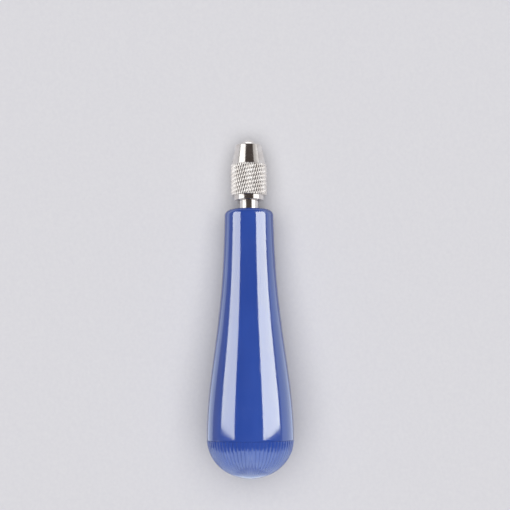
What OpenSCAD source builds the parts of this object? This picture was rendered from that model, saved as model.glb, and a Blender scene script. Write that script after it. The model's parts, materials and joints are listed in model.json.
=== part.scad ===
// Lino cutter handle with a screw chuck, at rest on its side.
//
// Every sub-part is drawn in tool coordinates: the tool's axis is Z, the pole of the end cap is at
// z = 0 and the chuck's mouth is at the top. lay_down() then lays the finished sub-part on its side,
// with the nose towards +Y. The tool rests on its belly and on the handle's front edge, so its nose
// dips by a few degrees. The origin is on the floor, under the middle of the tool.

/* [Handle] */
// Length from the pole of the end cap to the handle's front face
handle_length = 102.2; // [95:0.1:120]
// Largest diameter, at the belly
belly_diameter = 33; // [30:0.5:36]
// Diameter that the slim front part of the handle tends to
front_diameter = 18.3; // [16:0.1:20]
// How quickly the belly thins out towards the front
swell_length = 46.3; // [40:0.1:55]
// Radius of the rounded front edge
front_round = 2.2; // [0.5:0.1:3]
// Wall around the storage hollow
handle_wall = 3; // [2:0.1:3.5]
// Length of the storage hollow in front of the cap's thread
storage_length = 56; // [40:1:58]

/* [End cap] */
// Height of the half ellipsoid that ends the handle
dome_height = 15; // [13:0.5:18]
// Length of the cap that shows, from its pole to the seam
cap_length = 14.5; // [10:0.1:14.5]
// Outer diameter of the threaded spigot inside the handle
spigot_diameter = 25; // [22:0.1:26]
// Length of the spigot
spigot_length = 9; // [5:0.5:12]
// Wall of the spigot
spigot_wall = 2.2; // [1.5:0.1:3]
// Thickness of the cap at its pole
cap_wall = 5; // [3:0.5:6]

/* [Chuck stud] */
// Diameter of the bare neck between the handle and the nut
neck_diameter = 7.1; // [6.5:0.1:7.2]
// Length of bare neck that shows with the nut screwed home
neck_length = 3.7; // [2:0.1:6]
// Diameter of the stud's thread
thread_diameter = 7.4; // [7.3:0.1:7.6]
// Length of the stud inside the nut
thread_length = 9.8; // [8:0.1:11]
// Diameter of the tang that is pressed into the handle
tang_diameter = 9; // [8:0.1:10]
// Length of the tang
tang_length = 15; // [8:0.5:16]

/* [Thrust ball] */
// Diameter of the steel ball between stud and jaw
ball_diameter = 4.76; // [4:0.01:4.8]
// How far the ball's centre lies inside the stud's front face
ball_depth = 0.9; // [0.5:0.1:1.2]

/* [Chuck nut] */
// Diameter and length of the plain collar at the nut's back
collar_diameter = 11.2; // [10:0.1:12]
collar_length = 1.8; // [1:0.1:3]
// Diameter and length of the knurled grip
knurl_diameter = 13.9; // [13.8:0.1:15]
knurl_length = 12.1; // [9:0.1:14]
// Diameter of the smooth nose where it leaves the grip, and at its front edge
nose_back_diameter = 13; // [11:0.1:13]
nose_front_diameter = 10.2; // [9:0.1:10.8]
// Length of the nose
nose_length = 7.7; // [7:0.1:9]
// Width of the bevel around the nose's front edge
nose_bevel = 0.6; // [0.3:0.1:0.9]
// Diameter of the mouth that the blade's shank goes into
mouth_diameter = 6.6; // [6.2:0.1:6.8]
// Length of the straight mouth, and of the taper behind it
mouth_length = 2.2; // [1.5:0.1:2.5]
taper_length = 2.5; // [2:0.1:3]

/* [Clamp jaw] */
// How far the jaw's domed tip stands out of the mouth
tip_height = 2; // [0.8:0.1:2.4]
// Thickness of the half-round slot that takes the blade's curved shank
slot_thickness = 1.1; // [0.8:0.1:1.3]
// Depth of that slot, from the mouth
slot_depth = 9; // [6:0.5:9.5]

/* [Fits] */
// Radial gap between nut and stud, whose threads are drawn as plain cylinders
thread_gap = 0.05; // [0.02:0.01:0.1]
// Radial gap of the jaw in the nut, and of the cap's spigot in the handle
sliding_gap = 0.1; // [0.05:0.01:0.1]
// Gap at the seam between handle and cap, and around the ball
touch_gap = 0.1; // [0.05:0.01:0.2]

/* [Hidden] */

smooth = 96;
swell_steps = 30;
arc_steps = 10;
edge = 0.3;
overlap = 0.5;

belly_r = belly_diameter / 2;
front_r = front_diameter / 2;
spigot_r = spigot_diameter / 2;
neck_r = neck_diameter / 2;
thread_r = thread_diameter / 2;
tang_r = tang_diameter / 2;
ball_r = ball_diameter / 2;
collar_r = collar_diameter / 2;
knurl_r = knurl_diameter / 2;
mouth_r = mouth_diameter / 2;
nut_bore_r = thread_r + thread_gap;
jaw_r = mouth_r - sliding_gap;
cup_r = spigot_r - spigot_wall;
storage_r = spigot_r - edge;

// Levels along the tool's axis
nut_back = handle_length + neck_length;
knurl_back = nut_back + collar_length;
knurl_front = knurl_back + knurl_length;
mouth_z = knurl_front + nose_length;
taper_front = mouth_z - mouth_length;
taper_back = taper_front - taper_length;
stud_front = nut_back + thread_length;
ball_z = stud_front - ball_depth;
jaw_back = stud_front + edge;
tip_z = mouth_z + tip_height;
storage_back = cap_length + spigot_length + edge;
storage_front = storage_back + storage_length;
straight_end = handle_length - front_round;

// The jaw's tip is a cap of a sphere.
tip_sphere_r = (pow(jaw_r, 2) + pow(tip_height, 2)) / (2 * tip_height);
tip_sphere_z = tip_z - tip_sphere_r;

// Radius of the handle at level z: a bell curve that thins out from the belly to the front
function swell(z) = front_r + (belly_r - front_r) * exp(-pow((z - dome_height) / swell_length, 2));

// Outline points, as [radius, level]
function dome_outline(top) =
    let (top_angle = acos(1 - top / dome_height))
    [for (i = [0:2 * arc_steps])
        let (a = top_angle * i / (2 * arc_steps))
        [belly_r * sin(a), dome_height * (1 - cos(a))]];

function swell_outline(from, to, inset = 0, widest = belly_r) =
    [for (i = [0:swell_steps])
        let (z = from + (to - from) * i / swell_steps)
        [min(swell(z) - inset, widest), z]];

function front_edge_outline() =
    [for (i = [1:arc_steps])
        let (a = 90 * i / arc_steps)
        [swell(straight_end) - front_round * (1 - cos(a)), straight_end + front_round * sin(a)]];

function tip_outline() =
    let (edge_angle = asin(jaw_r / tip_sphere_r))
    [for (i = [0:arc_steps])
        let (a = edge_angle * (1 - i / arc_steps))
        [tip_sphere_r * sin(a), tip_sphere_z + tip_sphere_r * cos(a)]];

belly_outline = concat(dome_outline(cap_length), swell_outline(cap_length, straight_end));

// At rest, one straight line touches the belly and the handle's front edge. Its slope is the tilt.
rest_tilt = atan(max([for (p = belly_outline)
    min([for (q = front_edge_outline()) (p[0] - q[0]) / (q[1] - p[1])])]));
axis_height = max([for (p = belly_outline) p[0] * cos(rest_tilt) + p[1] * sin(rest_tilt)]);
rear_y = min([for (p = belly_outline) p[1] * cos(rest_tilt) - p[0] * sin(rest_tilt)]);
front_y = tip_sphere_z * cos(rest_tilt) + tip_sphere_r;

// Lays a sub-part on its side. The tool's +Z becomes the nose's direction, and its +Y faces the floor.
module lay_down() {
    translate([0, -(rear_y + front_y) / 2, axis_height])
        rotate([-(90 + rest_tilt), 0, 0])
            children();
}

// A solid turned about the tool's axis from [radius, level] points
module turned(outline) {
    rotate_extrude($fn = smooth) polygon(outline);
}

module rod(radius, from, to) {
    translate([0, 0, from]) cylinder(r = radius, h = to - from, $fn = smooth);
}

module taper(radius_from, radius_to, from, to) {
    translate([0, 0, from]) cylinder(r1 = radius_from, r2 = radius_to, h = to - from, $fn = smooth);
}

// Hollow plastic handle: thread and storage hollow at the fat end, blind bore for the stud in front
module handle_shell() {
    seam = cap_length + touch_gap;
    lay_down() color("royalblue") difference() {
        turned(concat(
            [[0, seam]],
            swell_outline(seam, straight_end),
            front_edge_outline(),
            [[0, handle_length]]));
        rod(spigot_r + sliding_gap, 0, storage_back);
        turned(concat(
            [[0, storage_back - overlap]],
            swell_outline(storage_back - overlap, storage_front, handle_wall, storage_r),
            [[0, storage_front]]));
        rod(tang_r, handle_length - tang_length, handle_length + overlap);
    }
}

// Domed cap with a threaded, hollow spigot
module end_cap() {
    cup_dome = cap_length - cap_wall;
    lay_down() color("royalblue") difference() {
        union() {
            turned(concat(dome_outline(cap_length), [[0, cap_length]]));
            rod(spigot_r, cap_length - overlap, cap_length + spigot_length - edge);
            taper(spigot_r, spigot_r - edge, cap_length + spigot_length - edge, cap_length + spigot_length);
        }
        rod(cup_r, cap_length, cap_length + spigot_length + overlap);
        turned(concat(
            [for (i = [0:arc_steps])
                let (a = 90 * i / arc_steps)
                [cup_r * sin(a), cap_wall + cup_dome * (1 - cos(a))]],
            [[cup_r, cap_length + overlap], [0, cap_length + overlap]]));
    }
}

// Metal stud: tang in the handle, bare neck, thread, and a drilled socket for the ball
module chuck_stud() {
    socket_r = ball_r + touch_gap;
    drill_angle = 59;
    apex_z = ball_z - ball_r / sin(drill_angle) - touch_gap;
    drill_z = apex_z + socket_r / tan(drill_angle);
    lay_down() color("silver") difference() {
        union() {
            rod(tang_r, handle_length - tang_length, handle_length);
            rod(neck_r, handle_length - overlap, nut_back + collar_length);
            rod(thread_r, nut_back + collar_length, stud_front - edge);
            taper(thread_r, thread_r - edge, stud_front - edge, stud_front);
        }
        taper(0, socket_r, apex_z, drill_z);
        rod(socket_r, drill_z, stud_front + overlap);
    }
}

// Steel ball that takes the thrust, so that the jaw doesn't turn with the nut
module thrust_ball() {
    lay_down() color("gainsboro") translate([0, 0, ball_z]) sphere(r = ball_r, $fn = smooth);
}

// Steel jaw with a domed tip. The half of it that faces the floor is thinner, and leaves a slot.
module clamp_jaw() {
    guide_r = nut_bore_r - sliding_gap;
    lay_down() color("gainsboro") difference() {
        turned(concat(
            [[0, jaw_back], [guide_r, jaw_back], [guide_r, taper_back], [jaw_r, taper_front]],
            tip_outline()));
        rotate_extrude(angle = 180, $fn = smooth)
            translate([mouth_r - slot_thickness, mouth_z - slot_depth])
                square([belly_r, slot_depth + tip_height + overlap]);
        translate([0, 0, ball_z]) sphere(r = ball_r + touch_gap, $fn = smooth);
    }
}

// Nut: plain collar, grip, tapered nose, and a bore that narrows to the mouth
module chuck_nut() {
    nose_back_r = nose_back_diameter / 2;
    nose_front_r = nose_front_diameter / 2;
    lay_down() color("silver") difference() {
        turned([
            [0, nut_back],
            [collar_r - edge, nut_back],
            [collar_r, nut_back + edge],
            [collar_r, knurl_back],
            [knurl_r - edge, knurl_back],
            [knurl_r, knurl_back + edge],
            [knurl_r, knurl_front - edge],
            [knurl_r - edge, knurl_front],
            [nose_back_r, knurl_front],
            [nose_front_r, mouth_z - nose_bevel],
            [nose_front_r - nose_bevel, mouth_z],
            [0, mouth_z]]);
        rod(nut_bore_r, nut_back - overlap, taper_back);
        taper(nut_bore_r, mouth_r, taper_back, taper_front);
        rod(mouth_r, taper_front, mouth_z + overlap);
    }
}

handle_shell();
end_cap();
chuck_stud();
thrust_ball();
clamp_jaw();
chuck_nut();
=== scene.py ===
"""Looks of the lino cutter handle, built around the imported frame.

Pieces are drawn in tool coordinates, in millimetres: the tool's axis is +Z, the pole of the end cap is
at level 0, and the side that faces the floor is +Y. into_frame() moves them into the frame, in metres.
"""

import json
import math

import bpy
from mathutils import Matrix, Vector


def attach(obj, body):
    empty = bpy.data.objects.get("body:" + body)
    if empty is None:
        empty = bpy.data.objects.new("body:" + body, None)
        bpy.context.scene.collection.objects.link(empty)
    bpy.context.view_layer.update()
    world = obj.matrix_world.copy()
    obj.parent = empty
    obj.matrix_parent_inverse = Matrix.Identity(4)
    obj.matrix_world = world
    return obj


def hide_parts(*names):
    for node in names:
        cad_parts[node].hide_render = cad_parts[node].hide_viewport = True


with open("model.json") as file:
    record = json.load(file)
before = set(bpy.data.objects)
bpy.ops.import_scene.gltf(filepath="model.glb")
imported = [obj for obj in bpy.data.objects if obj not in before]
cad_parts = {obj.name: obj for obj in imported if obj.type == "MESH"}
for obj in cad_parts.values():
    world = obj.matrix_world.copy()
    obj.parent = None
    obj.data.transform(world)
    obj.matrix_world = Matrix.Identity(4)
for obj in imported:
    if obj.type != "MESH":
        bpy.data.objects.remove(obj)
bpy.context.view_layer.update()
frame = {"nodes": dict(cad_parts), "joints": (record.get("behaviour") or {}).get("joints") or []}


# ---------------------------------------------------------------- tool space, from the frame

MM = 0.001
chuck_turn = next(joint for joint in frame["joints"] if joint["name"] == "chuck_turn")
tool_axis = Vector(chuck_turn["axis"]).normalized()
tool_side = Vector((1, 0, 0))
floor_side = tool_axis.cross(tool_side)


def axial_extent(node):
    """Lowest and highest place of a CAD node along the tool's axis, in metres."""
    places = [vertex.co.dot(tool_axis) for vertex in frame["nodes"][node].data.vertices]
    return min(places), max(places)


on_axis = Vector(chuck_turn["pos_m"])
cap_pole = on_axis + tool_axis * (axial_extent("end_cap")[0] - on_axis.dot(tool_axis))
turn_to_frame = Matrix((tool_side, floor_side, tool_axis)).transposed().to_4x4()
tool_to_frame = Matrix.Translation(cap_pole) @ turn_to_frame @ Matrix.Scale(MM, 4)
frame_to_tool = tool_to_frame.inverted()


# ---------------------------------------------------------------- sizes in millimetres, as in the CAD

HANDLE_LENGTH = 102.2
BELLY_RADIUS = 16.5
FRONT_RADIUS = 9.15
SWELL_LENGTH = 46.3
FRONT_ROUND = 2.2
HANDLE_WALL = 3.0

DOME_HEIGHT = 15.0
CAP_LENGTH = 14.5
CAP_WALL = 5.0
SPIGOT_RADIUS = 12.5
SPIGOT_FRONT = CAP_LENGTH + 9.0
CUP_RADIUS = 10.3
THREAD_BORE_RADIUS = 12.6
THREAD_BORE_FRONT = SPIGOT_FRONT + 0.3
STORAGE_RADIUS = 12.2
STORAGE_FRONT = THREAD_BORE_FRONT + 56.0

NUT_BACK = HANDLE_LENGTH + 3.7
KNURL_BACK = NUT_BACK + 1.8
KNURL_FRONT = KNURL_BACK + 12.1
MOUTH_LEVEL = KNURL_FRONT + 7.7
TAPER_FRONT = MOUTH_LEVEL - 2.2
TAPER_BACK = TAPER_FRONT - 2.5
COLLAR_RADIUS = 5.6
KNURL_RADIUS = 6.95
NOSE_BACK_RADIUS = 6.5
NOSE_FRONT_RADIUS = 5.1
NOSE_BEVEL = 0.6
NUT_BORE_RADIUS = 3.75
MOUTH_RADIUS = 3.3

TANG_RADIUS = 4.5
TANG_BACK = HANDLE_LENGTH - 15.0
NECK_RADIUS = 3.55
STUD_THREAD_RADIUS = 3.7
STUD_FRONT = NUT_BACK + 9.8
BALL_LEVEL = STUD_FRONT - 0.9
BALL_SOCKET_RADIUS = 2.48
SOCKET_SHOULDER = BALL_LEVEL - 1.38
DRILL_HALF_ANGLE = math.radians(59)

JAW_BACK = STUD_FRONT + 0.3
JAW_TIP = MOUTH_LEVEL + 2.0
JAW_GUIDE_RADIUS = 3.65
JAW_RADIUS = 3.2
SLOT_BACK = MOUTH_LEVEL - 9.0
SLOT_FLOOR_RADIUS = 2.2

EDGE = 0.3


# ---------------------------------------------------------------- detail in millimetres, not in the CAD

SEAM_GAP = 0.06
SEAM_ROUND = 0.12
LEAD_IN = 0.6

RIB_COUNT = 66
RIB_DEPTH = 0.3
RIBS_END_RADIUS = 5.5
RIBS_FADE_WIDTH = 4.0

KNURL_COUNT = 46
KNURL_ROWS = 4
KNURL_DEPTH = 0.24
SECOND_CUT = 0.45

CAP_THREAD_PITCH = 2.0
CAP_THREAD_DEPTH = 0.6
CHUCK_THREAD_PITCH = 1.0
CHUCK_THREAD_DEPTH = 0.45


# ---------------------------------------------------------------- outlines and meshes

def steps(start, end, count):
    """Evenly spaced values from start to end, both included."""
    return [start + (end - start) * i / count for i in range(count + 1)]


def line(start, end, count=1):
    """Points from just after start up to end, each (radius, level)."""
    return [(start[0] + (end[0] - start[0]) * i / count, start[1] + (end[1] - start[1]) * i / count)
            for i in range(1, count + 1)]


def polyline(corners, step=2.0):
    """A path of straight runs through the corners, with points about a step apart."""
    points = [corners[0]]
    for start, end in zip(corners, corners[1:]):
        points += line(start, end, max(1, round(math.dist(start, end) / step)))
    return points


def arc(centre, radius, first_degrees, last_degrees, count=6):
    """Points of an arc about centre, measured from the outward direction towards the nose."""
    angles = [math.radians(a) for a in steps(first_degrees, last_degrees, count)]
    return [(centre[0] + radius * math.cos(a), centre[1] + radius * math.sin(a)) for a in angles]


def swell(level):
    """Radius of the handle at a level."""
    from_belly = (level - DOME_HEIGHT) / SWELL_LENGTH
    return FRONT_RADIUS + (BELLY_RADIUS - FRONT_RADIUS) * math.exp(-from_belly ** 2)


def triangle_wave(value):
    """1 at whole numbers, 0 halfway between them."""
    return abs(2 * (value % 1) - 1)


def helix(level, angle, pitch):
    """Depth in the profile of a thread: 1 in the valley, 0 on the crest, with flats on both."""
    wave = triangle_wave((level / pitch) - angle / (2 * math.pi))
    return min(1.0, max(0.0, 1.4 * wave - 0.2))


def into_frame(mesh):
    """Moves a mesh from tool coordinates to the frame's."""
    mesh.transform(tool_to_frame)
    mesh.update()


def lathe(name, outline, segments, relief):
    """A solid turned from (radius, level) points. relief(radius, level, angle) gives the true radius
    at each of its vertices."""
    vertices = []
    rings = []
    for radius, level in outline:
        if radius < 1e-6:
            rings.append([len(vertices)] * segments)
            vertices.append((0, 0, level))
            continue
        rings.append(list(range(len(vertices), len(vertices) + segments)))
        for i in range(segments):
            angle = 2 * math.pi * i / segments
            true_radius = relief(radius, level, angle)
            vertices.append((true_radius * math.cos(angle), true_radius * math.sin(angle), level))
    faces = []
    for lower, upper in zip(rings, rings[1:]):
        for i in range(segments):
            j = (i + 1) % segments
            corners = [lower[i], lower[j], upper[j], upper[i]]
            faces.append(list(dict.fromkeys(corners)))
    mesh = bpy.data.meshes.new(name)
    mesh.from_pydata(vertices, [], faces)
    into_frame(mesh)
    mesh.shade_smooth()
    mesh.set_sharp_from_angle(angle=math.radians(32))
    piece = bpy.data.objects.new(name, mesh)
    bpy.context.scene.collection.objects.link(piece)
    return piece


def stand_for(piece, node, body, material):
    """The piece takes the place of a CAD node, moves with its body and wears the material."""
    piece.data.materials.append(material)
    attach(piece, body)
    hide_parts(node)
    return piece


# ---------------------------------------------------------------- materials

def srgb(red, green, blue):
    """A colour given as 0-255 screen values, made linear."""
    return tuple((value / 255 / 12.92) if value < 11 else ((value / 255 + 0.055) / 1.055) ** 2.4
                 for value in (red, green, blue)) + (1.0,)


class Surface:
    """A Principled material, with helpers that add procedural detail in tool coordinates."""

    def __init__(self, name, **values):
        self.material = bpy.data.materials.new(name)
        self.material.use_nodes = True
        self.tree = self.material.node_tree
        self.shader = self.tree.nodes["Principled BSDF"]
        for socket, value in values.items():
            self.shader.inputs[socket.replace("_", " ")].default_value = value
        self.normal = None

    def node(self, kind, **settings):
        made = self.tree.nodes.new(kind)
        for name, value in settings.items():
            setattr(made, name, value)
        return made

    def link(self, output, socket):
        self.tree.links.new(output, socket)

    def tool_place(self, stretch=(1, 1, 1)):
        """Place in tool millimetres, stretched by a factor along each axis."""
        here = self.node("ShaderNodeTexCoord")
        to_tool = self.node("ShaderNodeMapping")
        to_tool.inputs["Location"].default_value = frame_to_tool.to_translation()
        to_tool.inputs["Rotation"].default_value = frame_to_tool.to_euler()
        to_tool.inputs["Scale"].default_value = frame_to_tool.to_scale()
        self.link(here.outputs["Object"], to_tool.inputs["Vector"])
        stretched = self.node("ShaderNodeVectorMath", operation="MULTIPLY")
        stretched.inputs[1].default_value = stretch
        self.link(to_tool.outputs["Vector"], stretched.inputs[0])
        return stretched.outputs["Vector"]

    def noise(self, scale, stretch=(1, 1, 1), detail=3.0, distortion=0.0):
        made = self.node("ShaderNodeTexNoise")
        made.inputs["Scale"].default_value = scale
        made.inputs["Detail"].default_value = detail
        made.inputs["Roughness"].default_value = 0.55
        made.inputs["Distortion"].default_value = distortion
        self.link(self.tool_place(stretch), made.inputs["Vector"])
        return made.outputs["Fac"]

    def ramp(self, value, low, high, from_value, to_value):
        """Maps low..high of a value to from_value..to_value, held beyond its ends."""
        made = self.node("ShaderNodeMapRange", clamp=True)
        self.link(value, made.inputs["Value"])
        for socket, number in zip(("From Min", "From Max", "To Min", "To Max"),
                                  (low, high, from_value, to_value)):
            made.inputs[socket].default_value = number
        return made.outputs["Result"]

    def combine(self, operation, first, second=0.0):
        made = self.node("ShaderNodeMath", operation=operation)
        for socket, value in zip(made.inputs, (first, second)):
            if isinstance(value, (int, float)):
                socket.default_value = value
            else:
                self.link(value, socket)
        return made.outputs["Value"]

    def blend_colours(self, factor, first, second):
        made = self.node("ShaderNodeMix", data_type="RGBA")
        self.link(factor, made.inputs["Factor"])
        ends = [socket for socket in made.inputs if socket.type == "RGBA"]
        for socket, colour in zip(ends, (first, second)):
            socket.default_value = colour
        return next(socket for socket in made.outputs if socket.type == "RGBA")

    def bump(self, height, strength, distance_mm):
        """Adds a bump on top of those already there."""
        made = self.node("ShaderNodeBump")
        made.inputs["Strength"].default_value = strength
        made.inputs["Distance"].default_value = distance_mm * MM
        self.link(height, made.inputs["Height"])
        if self.normal:
            self.link(self.normal, made.inputs["Normal"])
        self.normal = made.outputs["Normal"]
        self.link(self.normal, self.shader.inputs["Normal"])


def scratches(surface, scale, along, across):
    """Fine lines: 1 on a scratch and 0 elsewhere. They run in two slanting directions."""
    lines = []
    for slant in (0.35, -0.6):
        waves = surface.noise(scale, stretch=(across, across * slant, along), detail=1.0, distortion=0.4)
        near_middle = surface.combine("ABSOLUTE", surface.combine("SUBTRACT", waves, 0.5))
        lines.append(surface.ramp(near_middle, 0.0, 0.008, 1.0, 0.0))
    patches = surface.ramp(surface.noise(0.16, detail=2.0), 0.5, 0.62, 0.0, 1.0)
    return surface.combine("MULTIPLY", surface.combine("MAXIMUM", lines[0], lines[1]), patches)


def blue_plastic():
    """Glossy royal-blue moulded plastic, a little uneven, with the fine scuffs of handling."""
    surface = Surface("royal_blue_gloss_plastic", IOR=1.52)
    flow = surface.ramp(surface.noise(0.05, stretch=(1, 1, 0.35)), 0.35, 0.65, 0.0, 1.0)
    colour = surface.blend_colours(flow, srgb(39, 66, 143), srgb(45, 74, 154))
    surface.link(colour, surface.shader.inputs["Base Color"])
    scuffs = scratches(surface, 1.1, 0.35, 2.2)
    haze = surface.ramp(surface.noise(0.12, detail=4.0), 0.35, 0.7, 0.06, 0.13)
    surface.link(surface.combine("MAXIMUM", haze, surface.combine("MULTIPLY", scuffs, 0.3)),
                 surface.shader.inputs["Roughness"])
    surface.bump(surface.noise(0.35, detail=2.0), 0.12, 0.05)
    surface.bump(surface.noise(2.4, detail=2.0), 0.08, 0.01)
    surface.bump(surface.combine("MULTIPLY", scuffs, -1), 0.15, 0.01)
    return surface.material


def nickel_plate(name):
    """Bright nickel plating over turned metal: faint tool rings, soft haze and hairline scratches."""
    surface = Surface(name, Metallic=1.0)
    tarnish = surface.ramp(surface.noise(0.5, detail=4.0), 0.4, 0.7, 0.0, 1.0)
    colour = surface.blend_colours(tarnish, srgb(240, 237, 234), srgb(224, 218, 212))
    surface.link(colour, surface.shader.inputs["Base Color"])
    hairlines = scratches(surface, 1.6, 0.5, 2.0)
    haze = surface.ramp(surface.noise(0.7, detail=4.0), 0.3, 0.75, 0.09, 0.2)
    surface.link(surface.combine("MAXIMUM", haze, surface.combine("MULTIPLY", hairlines, 0.35)),
                 surface.shader.inputs["Roughness"])
    surface.bump(surface.noise(1.0, stretch=(0.02, 0.02, 9.0), detail=3.0), 0.12, 0.01)
    surface.bump(surface.noise(1.6, detail=3.0), 0.1, 0.01)
    return surface


def knurled_nickel_plate():
    """The same plating, duller where it covers the torn metal of the knurl."""
    surface = nickel_plate("knurled_nickel_plate")
    split = surface.node("ShaderNodeSeparateXYZ")
    surface.link(surface.tool_place(), split.inputs["Vector"])
    level = split.outputs["Z"]
    fade = 0.2
    after_back = surface.ramp(level, KNURL_BACK, KNURL_BACK + fade, 0.0, 1.0)
    before_front = surface.ramp(level, KNURL_FRONT - fade, KNURL_FRONT, 1.0, 0.0)
    torn = surface.ramp(surface.noise(1.5, detail=4.0), 0.3, 0.7, 0.22, 0.36)
    dullness = surface.combine("MULTIPLY", surface.combine("MULTIPLY", after_back, before_front), torn)
    plain = surface.shader.inputs["Roughness"].links[0].from_socket
    surface.link(surface.combine("MAXIMUM", plain, dullness), surface.shader.inputs["Roughness"])
    return surface


def bare_steel():
    """Ground ball steel, a little duller than the plating."""
    surface = Surface("ground_ball_steel", Metallic=1.0)
    grain = surface.ramp(surface.noise(2.0, detail=4.0), 0.35, 0.65, 0.0, 1.0)
    surface.link(surface.blend_colours(grain, srgb(178, 178, 180), srgb(158, 157, 157)),
                 surface.shader.inputs["Base Color"])
    surface.link(surface.ramp(grain, 0.0, 1.0, 0.14, 0.26), surface.shader.inputs["Roughness"])
    surface.bump(surface.noise(5.0, detail=3.0), 0.1, 0.01)
    return surface.material


def floor_card():
    """Plain pale card with a hint of tooth."""
    surface = Surface("pale_card", Roughness=0.75)
    fibres = surface.ramp(surface.noise(0.8, detail=5.0), 0.3, 0.7, 0.0, 1.0)
    surface.link(surface.blend_colours(fibres, srgb(196, 196, 201), srgb(200, 200, 204)),
                 surface.shader.inputs["Base Color"])
    surface.bump(surface.noise(1.2, detail=4.0), 0.08, 0.05)
    return surface.material


# ---------------------------------------------------------------- handle

def handle_relief(radius, level, angle):
    """The thread inside the handle's fat end is cut outwards from its bore."""
    on_bore = abs(radius - THREAD_BORE_RADIUS) < 0.01
    if not (on_bore and CAP_LENGTH + 1 < level < THREAD_BORE_FRONT - 1):
        return radius
    return radius + CAP_THREAD_DEPTH * helix(level, angle, CAP_THREAD_PITCH)


def handle_outline():
    """From the hollow's front wall, back along the hollow, round the seam, and forward outside."""
    seam = CAP_LENGTH + SEAM_GAP
    front_straight = HANDLE_LENGTH - FRONT_ROUND
    hollow_corner = 1.5
    hollow = [(min(swell(z) - HANDLE_WALL, STORAGE_RADIUS), z)
              for z in steps(STORAGE_FRONT - hollow_corner, THREAD_BORE_FRONT, 60)]
    hollow_front = (hollow[0][0] - hollow_corner, STORAGE_FRONT)
    thread_bore = line((THREAD_BORE_RADIUS, THREAD_BORE_FRONT), (THREAD_BORE_RADIUS, seam + LEAD_IN), 44)
    seam_inside = (THREAD_BORE_RADIUS + LEAD_IN, seam)
    seam_outside = (swell(seam) - SEAM_ROUND, seam)
    outside = [(swell(z), z) for z in steps(seam + SEAM_ROUND, front_straight, 150)]
    front_corner = (swell(front_straight) - FRONT_ROUND, front_straight)
    return (
        [(0, STORAGE_FRONT)]
        + polyline([(0.5, STORAGE_FRONT), hollow_front, hollow[0]], 1.0)
        + hollow[1:]
        + [(THREAD_BORE_RADIUS, THREAD_BORE_FRONT)]
        + thread_bore
        + [seam_inside]
        + line(seam_inside, seam_outside, 4)
        + arc((seam_outside[0], seam + SEAM_ROUND), SEAM_ROUND, -90, 0)[1:-1]
        + outside
        + arc(front_corner, FRONT_ROUND, 0, 90, 14)[1:]
        + polyline([(front_corner[0], HANDLE_LENGTH), (TANG_RADIUS, HANDLE_LENGTH)], 0.8)[1:]
        + line((TANG_RADIUS, HANDLE_LENGTH), (TANG_RADIUS, TANG_BACK), 6)
        + [(0, TANG_BACK)]
    )


# ---------------------------------------------------------------- end cap

def dome_radius(level):
    """Radius of the cap's dome at a level."""
    return BELLY_RADIUS * math.sqrt(max(0.0, 1 - (1 - level / DOME_HEIGHT) ** 2))


def cap_relief(radius, level, angle):
    """Ribs run over the dome and fade out towards the pole. The spigot has a coarse thread."""
    on_dome = level < CAP_LENGTH + 0.01 and radius > dome_radius(level) - 0.05
    if on_dome:
        fade = min(1.0, max(0.0, (radius - RIBS_END_RADIUS) / RIBS_FADE_WIDTH))
        valley = (0.5 + 0.5 * math.cos(RIB_COUNT * angle)) ** 3
        return radius - RIB_DEPTH * fade * valley
    on_spigot = abs(radius - SPIGOT_RADIUS) < 0.01
    if on_spigot and CAP_LENGTH + 1 < level < SPIGOT_FRONT - 0.5:
        return radius - CAP_THREAD_DEPTH * helix(level, angle, CAP_THREAD_PITCH)
    return radius


def cap_outline():
    """From the pole over the dome, in at the seam, along the spigot, and back inside the cup."""
    seam_angle = math.acos(1 - CAP_LENGTH / DOME_HEIGHT)
    dome = [(BELLY_RADIUS * math.sin(a), DOME_HEIGHT * (1 - math.cos(a)))
            for a in steps(0.0, seam_angle, 72)]
    cup_dome = CAP_LENGTH - CAP_WALL
    cup = [(CUP_RADIUS * math.sin(a), CAP_WALL + cup_dome * (1 - math.cos(a)))
           for a in steps(math.pi / 2, 0.0, 20)]
    return (
        dome
        + line(dome[-1], (SPIGOT_RADIUS, CAP_LENGTH), 4)
        + line((SPIGOT_RADIUS, CAP_LENGTH), (SPIGOT_RADIUS, SPIGOT_FRONT - EDGE), 45)
        + [(SPIGOT_RADIUS - EDGE, SPIGOT_FRONT), (CUP_RADIUS + EDGE, SPIGOT_FRONT)]
        + line((CUP_RADIUS, SPIGOT_FRONT - EDGE), (CUP_RADIUS, CAP_LENGTH + 0.5), 6)
        + cup
    )


# ---------------------------------------------------------------- chuck

def stud_relief(radius, level, angle):
    """The thread is cut inwards, and stops short of the two ends of its stretch."""
    on_thread = abs(radius - STUD_THREAD_RADIUS) < 0.01
    if not (on_thread and KNURL_BACK + 0.3 < level < STUD_FRONT - 0.4):
        return radius
    return radius - CHUCK_THREAD_DEPTH * helix(level, angle, CHUCK_THREAD_PITCH)


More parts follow.
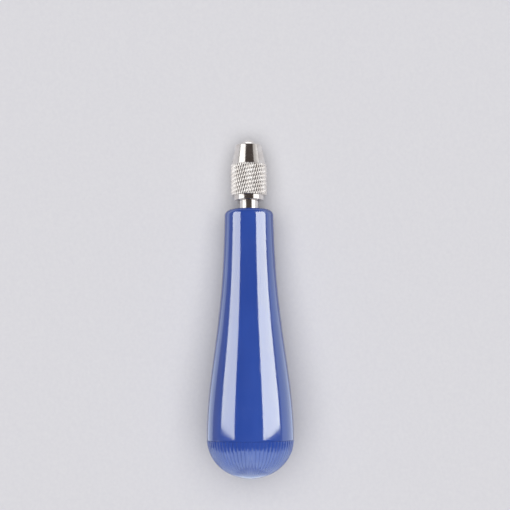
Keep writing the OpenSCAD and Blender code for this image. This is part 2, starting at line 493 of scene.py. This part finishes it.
def stud_outline():
    """Tang, bare neck with a small shoulder, thread, and the drilled socket for the ball."""
    drill_point = SOCKET_SHOULDER - BALL_SOCKET_RADIUS / math.tan(DRILL_HALF_ANGLE)
    return (
        [(0, TANG_BACK)]
        + polyline([(TANG_RADIUS - 0.4, TANG_BACK), (TANG_RADIUS, TANG_BACK + 0.4),
                    (TANG_RADIUS, HANDLE_LENGTH - 0.15), (TANG_RADIUS - 0.15, HANDLE_LENGTH)])
        + polyline([(NECK_RADIUS + 0.15, HANDLE_LENGTH), (NECK_RADIUS, HANDLE_LENGTH + 0.2),
                    (NECK_RADIUS, KNURL_BACK), (STUD_THREAD_RADIUS, KNURL_BACK + 0.1)], 0.5)
        + line((STUD_THREAD_RADIUS, KNURL_BACK + 0.1), (STUD_THREAD_RADIUS, STUD_FRONT - EDGE), 96)
        + [(STUD_THREAD_RADIUS - EDGE, STUD_FRONT), (BALL_SOCKET_RADIUS, STUD_FRONT)]
        + line((BALL_SOCKET_RADIUS, STUD_FRONT), (BALL_SOCKET_RADIUS, SOCKET_SHOULDER), 3)
        + [(0, drill_point)]
    )


def knurl_groove(level, angle):
    """Depth in the knurl, from 0 to 1. Two sets of round grooves cross, and one is cut less deep."""
    around = KNURL_COUNT * angle / (2 * math.pi)
    along = KNURL_ROWS * (level - KNURL_BACK) / (KNURL_FRONT - KNURL_BACK)
    rising, falling = (0.5 + 0.5 * math.cos(2 * math.pi * wave) for wave in (around + along, around - along))
    return max(falling, SECOND_CUT * rising)


def nut_relief(radius, level, angle):
    """The knurl is cut into the grip only."""
    in_grip = radius > COLLAR_RADIUS + 0.2 and KNURL_BACK - 0.01 < level < KNURL_FRONT + 0.01
    if not in_grip:
        return radius
    return min(radius, KNURL_RADIUS - KNURL_DEPTH * knurl_groove(level, angle))


def nut_outline():
    """From the bore's back end, out round the collar, along grip and nose, and back down the bore."""
    collar_round = 0.25
    mouth_round = 0.2
    bevel_middle = (NOSE_FRONT_RADIUS - NOSE_BEVEL, MOUTH_LEVEL - NOSE_BEVEL)
    grip = [(KNURL_RADIUS, level) for level in steps(KNURL_BACK, KNURL_FRONT, 12 * KNURL_ROWS)]
    grip[0] = (KNURL_RADIUS - EDGE, KNURL_BACK)
    grip[-1] = (KNURL_RADIUS - EDGE, KNURL_FRONT)
    grip.insert(1, (KNURL_RADIUS, KNURL_BACK + EDGE))
    grip.insert(-1, (KNURL_RADIUS, KNURL_FRONT - EDGE))
    collar_inside = COLLAR_RADIUS - collar_round
    return (
        [(NUT_BORE_RADIUS, TAPER_BACK)]
        + line((NUT_BORE_RADIUS, TAPER_BACK), (NUT_BORE_RADIUS, NUT_BACK + EDGE), 12)
        + [(NUT_BORE_RADIUS + EDGE, NUT_BACK)]
        + line((NUT_BORE_RADIUS + EDGE, NUT_BACK), (collar_inside, NUT_BACK), 2)
        + arc((collar_inside, NUT_BACK + collar_round), collar_round, -90, 0)[1:]
        + line((COLLAR_RADIUS, NUT_BACK + collar_round), (COLLAR_RADIUS, KNURL_BACK), 4)
        + grip
        + [(NOSE_BACK_RADIUS, KNURL_FRONT)]
        + line((NOSE_BACK_RADIUS, KNURL_FRONT), (NOSE_FRONT_RADIUS, MOUTH_LEVEL - NOSE_BEVEL), 14)
        + arc(bevel_middle, NOSE_BEVEL, 0, 90, 8)[1:]
        + arc((MOUTH_RADIUS + mouth_round, MOUTH_LEVEL - mouth_round), mouth_round, 90, 180, 4)
        + line((MOUTH_RADIUS, MOUTH_LEVEL - mouth_round), (MOUTH_RADIUS, TAPER_FRONT), 4)
        + line((MOUTH_RADIUS, TAPER_FRONT), (NUT_BORE_RADIUS, TAPER_BACK), 4)
    )


def jaw_relief(radius, level, angle):
    """The half that faces the floor is thinner, which leaves the slot for the blade's shank."""
    facing_floor = 0 < angle < math.pi
    if facing_floor and level > SLOT_BACK:
        return min(radius, SLOT_FLOOR_RADIUS)
    return radius


def jaw_outline():
    """Guide, taper, and a domed tip. The back is flat: the CAD's recess for the ball isn't drawn."""
    tip_height = JAW_TIP - MOUTH_LEVEL
    sphere_radius = (JAW_RADIUS ** 2 + tip_height ** 2) / (2 * tip_height)
    edge_angle = math.asin(JAW_RADIUS / sphere_radius)
    tip = [(sphere_radius * math.sin(a), JAW_TIP - sphere_radius * (1 - math.cos(a)))
           for a in steps(edge_angle, 0.0, 16)]
    return (
        [(0, JAW_BACK)]
        + polyline([(0.5, JAW_BACK), (JAW_GUIDE_RADIUS, JAW_BACK), (JAW_GUIDE_RADIUS, SLOT_BACK)], 0.7)
        + [(JAW_GUIDE_RADIUS, SLOT_BACK + 0.02)]
        + polyline([(JAW_GUIDE_RADIUS, SLOT_BACK + 0.5), (JAW_GUIDE_RADIUS, TAPER_BACK),
                    (JAW_RADIUS, TAPER_FRONT), (JAW_RADIUS, MOUTH_LEVEL - 0.1)], 0.7)
        + tip
    )


plastic = blue_plastic()
nickel = nickel_plate("bright_nickel_plate").material
knurled_nickel = knurled_nickel_plate().material
steel = bare_steel()

handle = stand_for(lathe("handle_body", handle_outline(), 256, handle_relief),
                   "handle_shell", "handle", plastic)
cap = stand_for(lathe("ribbed_cap", cap_outline(), 10 * RIB_COUNT, cap_relief),
                "end_cap", "cap", plastic)
stud = stand_for(lathe("threaded_stud", stud_outline(), 128, stud_relief),
                 "chuck_stud", "handle", nickel)
nut = stand_for(lathe("knurled_nut", nut_outline(), 10 * KNURL_COUNT, nut_relief),
                "chuck_nut", "nut", knurled_nickel)
jaw = stand_for(lathe("domed_jaw", jaw_outline(), 240, jaw_relief),
                "clamp_jaw", "jaw", nickel)

ball = frame["nodes"]["thrust_ball"]
ball.data.materials.clear()
ball.data.materials.append(steel)


# ---------------------------------------------------------------- floor, light and camera

WARM = (1.07, 1.08, 0.93)
COOL = (0.85, 1.0, 1.1)


def add_floor():
    """A wide sheet of card at floor level. It is part of the stage, not of the object."""
    half = 4.0
    mesh = bpy.data.meshes.new("floor")
    corners = [(-half, -half, 0), (half, -half, 0), (half, half, 0), (-half, half, 0)]
    mesh.from_pydata(corners, [], [(0, 1, 2, 3)])
    floor = bpy.data.objects.new("floor", mesh)
    bpy.context.scene.collection.objects.link(floor)
    mesh.materials.append(floor_card())


def gather(name, *pieces):
    """A group of pieces that a light can be kept to."""
    group = bpy.data.collections.new(name)
    for piece in pieces:
        group.objects.link(piece)
    return group


def add_softbox(name, target, place, size, radiance):
    """A rectangular light at a place that faces the target. Its size is (width, length), and its length
    runs along the tool."""
    width, length = size
    away = (place - target).normalized()
    light = bpy.data.lights.new(name, "AREA")
    light.shape = "RECTANGLE"
    light.size = width
    light.size_y = length
    light.energy = radiance * math.pi * width * length
    box = bpy.data.objects.new(name, light)
    box.location = place
    along = (Vector((0, 1, 0)) - away * away.y).normalized()
    box.rotation_euler = Matrix((along.cross(away), along, away)).transposed().to_euler()
    box.visible_camera = False
    bpy.context.scene.collection.objects.link(box)
    return box


def seen_from(target, side_degrees, lean_degrees, distance):
    """A place at a distance from the target. side is its angle from overhead towards +X, and lean its
    angle from overhead towards +Y."""
    away = Vector((math.tan(math.radians(side_degrees)), math.tan(math.radians(lean_degrees)), 1))
    return target + away.normalized() * distance


def add_reflection(group, name, target, place, size, radiance, colour=(1, 1, 1)):
    """A softbox that is only mirrored, and only by one group of pieces. The plastic mirrors a few
    hundredths of it and the metal nearly all, so each group has its own set."""
    box = add_softbox(name, target, place, size, radiance)
    box.data.color = colour
    box.visible_diffuse = False
    box.light_linking.receiver_collection = group


def light_plastic(handle, cap):
    """A strip down either side of the handle, and a glow from behind on the cap's dome alone."""
    both = gather("plastic_pieces", handle, cap)
    dome = gather("cap_only", cap)
    belly = tool_to_frame @ Vector((0, 0, DOME_HEIGHT + 25))
    beside = belly + Vector((0, 0.28, 0))
    left = seen_from(beside, -62, 0, 0.7)
    right = seen_from(beside, 59, 0, 0.7)
    behind = seen_from(belly, 0, -60, 0.8)
    add_reflection(both, "left_strip", beside, left, (0.52, 0.57), 9.6, WARM)
    add_reflection(both, "right_strip", beside, right, (0.66, 0.57), 12.0, WARM)
    add_reflection(dome, "dome_glow", belly, behind, (2.6, 0.9), 3.3, COOL)
    light_from_floor(both)


def light_from_floor(group):
    """Glows from the floor beside and behind the tool. The floor right under the tool stays dark."""
    far = 0.75
    left_reach = 0.06
    dark_half_width = 0.027
    just_above_floor = 0.0005
    cap_end = cap_pole.y - 0.01
    areas = {
        "left_floor_glow": (-left_reach, -dark_half_width, cap_end, far),
        "right_floor_glow": (dark_half_width, far, cap_end, far),
        "back_floor_glow": (-far, far, -far, cap_end),
    }
    for name, (left, right, back, front) in areas.items():
        middle = Vector(((left + right) / 2, (back + front) / 2, just_above_floor))
        above = middle + Vector((0, 0, 1))
        add_reflection(group, name, above, middle, (right - left, front - back), 1.2, COOL)


def light_metal(stud, ball, nut, jaw):
    """A strip down either side of the chuck, another pair for its tapered nose, and a low front glow on
    the jaw alone."""
    chuck = gather("metal_pieces", stud, ball, nut, jaw)
    tip = gather("jaw_only", jaw)
    nose = tool_to_frame @ Vector((0, 0, KNURL_FRONT))
    beside = nose + Vector((0, 0.07, 0))
    left = seen_from(beside, -62, 0, 0.7)
    right = seen_from(beside, 60, 0, 0.7)
    left_of_nose = seen_from(nose, -53, 45, 0.7)
    right_of_nose = seen_from(nose, 63, 45, 0.7)
    low_front = seen_from(nose, 0, 76, 0.6)
    add_reflection(chuck, "left_chuck_strip", beside, left, (0.56, 0.4), 1.3)
    add_reflection(chuck, "right_chuck_strip", beside, right, (0.62, 0.4), 1.3)
    add_reflection(chuck, "left_nose_strip", nose, left_of_nose, (0.5, 0.45), 1.3)
    add_reflection(chuck, "right_nose_strip", nose, right_of_nose, (0.45, 0.45), 0.5)
    add_reflection(tip, "tip_glow", nose, low_front, (0.9, 0.4), 2.2)


def light_floor():
    """A large even light overhead, which is never mirrored."""
    fill = add_softbox("overhead_fill", Vector((0, 0, 0)), Vector((0, 0, 2.6)), (3.9, 3.9), 2.8)
    fill.visible_glossy = False


def add_world():
    """Dark and warm overhead, where the camera is, and pale towards the horizon."""
    world = bpy.data.worlds.new("studio")
    bpy.context.scene.world = world
    world.use_nodes = True
    nodes = world.node_tree.nodes
    links = world.node_tree.links
    direction = nodes.new("ShaderNodeTexCoord")
    split = nodes.new("ShaderNodeSeparateXYZ")
    height = nodes.new("ShaderNodeMapRange")
    height.inputs["From Min"].default_value = 0.05
    height.inputs["From Max"].default_value = 0.45
    sky = nodes.new("ShaderNodeMix")
    sky.data_type = "RGBA"
    horizon, overhead = [socket for socket in sky.inputs if socket.type == "RGBA"]
    horizon.default_value = (0.55, 0.55, 0.56, 1)
    overhead.default_value = (0.075, 0.062, 0.058, 1)
    links.new(direction.outputs["Generated"], split.inputs["Vector"])
    links.new(split.outputs["Z"], height.inputs["Value"])
    links.new(height.outputs["Result"], sky.inputs["Factor"])
    links.new(next(socket for socket in sky.outputs if socket.type == "RGBA"),
              nodes["Background"].inputs["Color"])


def add_camera():
    """Straight above the tool, a little beyond its middle, with the nose at the top of the picture."""
    height = 0.52
    right_of_middle = 0.0022
    beyond_middle = 0.02005
    roll = math.radians(-0.4)
    camera = bpy.data.cameras.new("camera")
    camera.angle = math.radians(21.73)
    camera.clip_start = 0.01
    viewer = bpy.data.objects.new("camera", camera)
    viewer.location = (right_of_middle, beyond_middle, height)
    viewer.rotation_euler = (0, 0, roll)
    bpy.context.scene.collection.objects.link(viewer)
    bpy.context.scene.camera = viewer


add_floor()
add_world()
light_floor()
light_plastic(handle, cap)
light_metal(stud, ball, nut, jaw)
add_camera()

bpy.context.scene.view_settings.view_transform = "Standard"
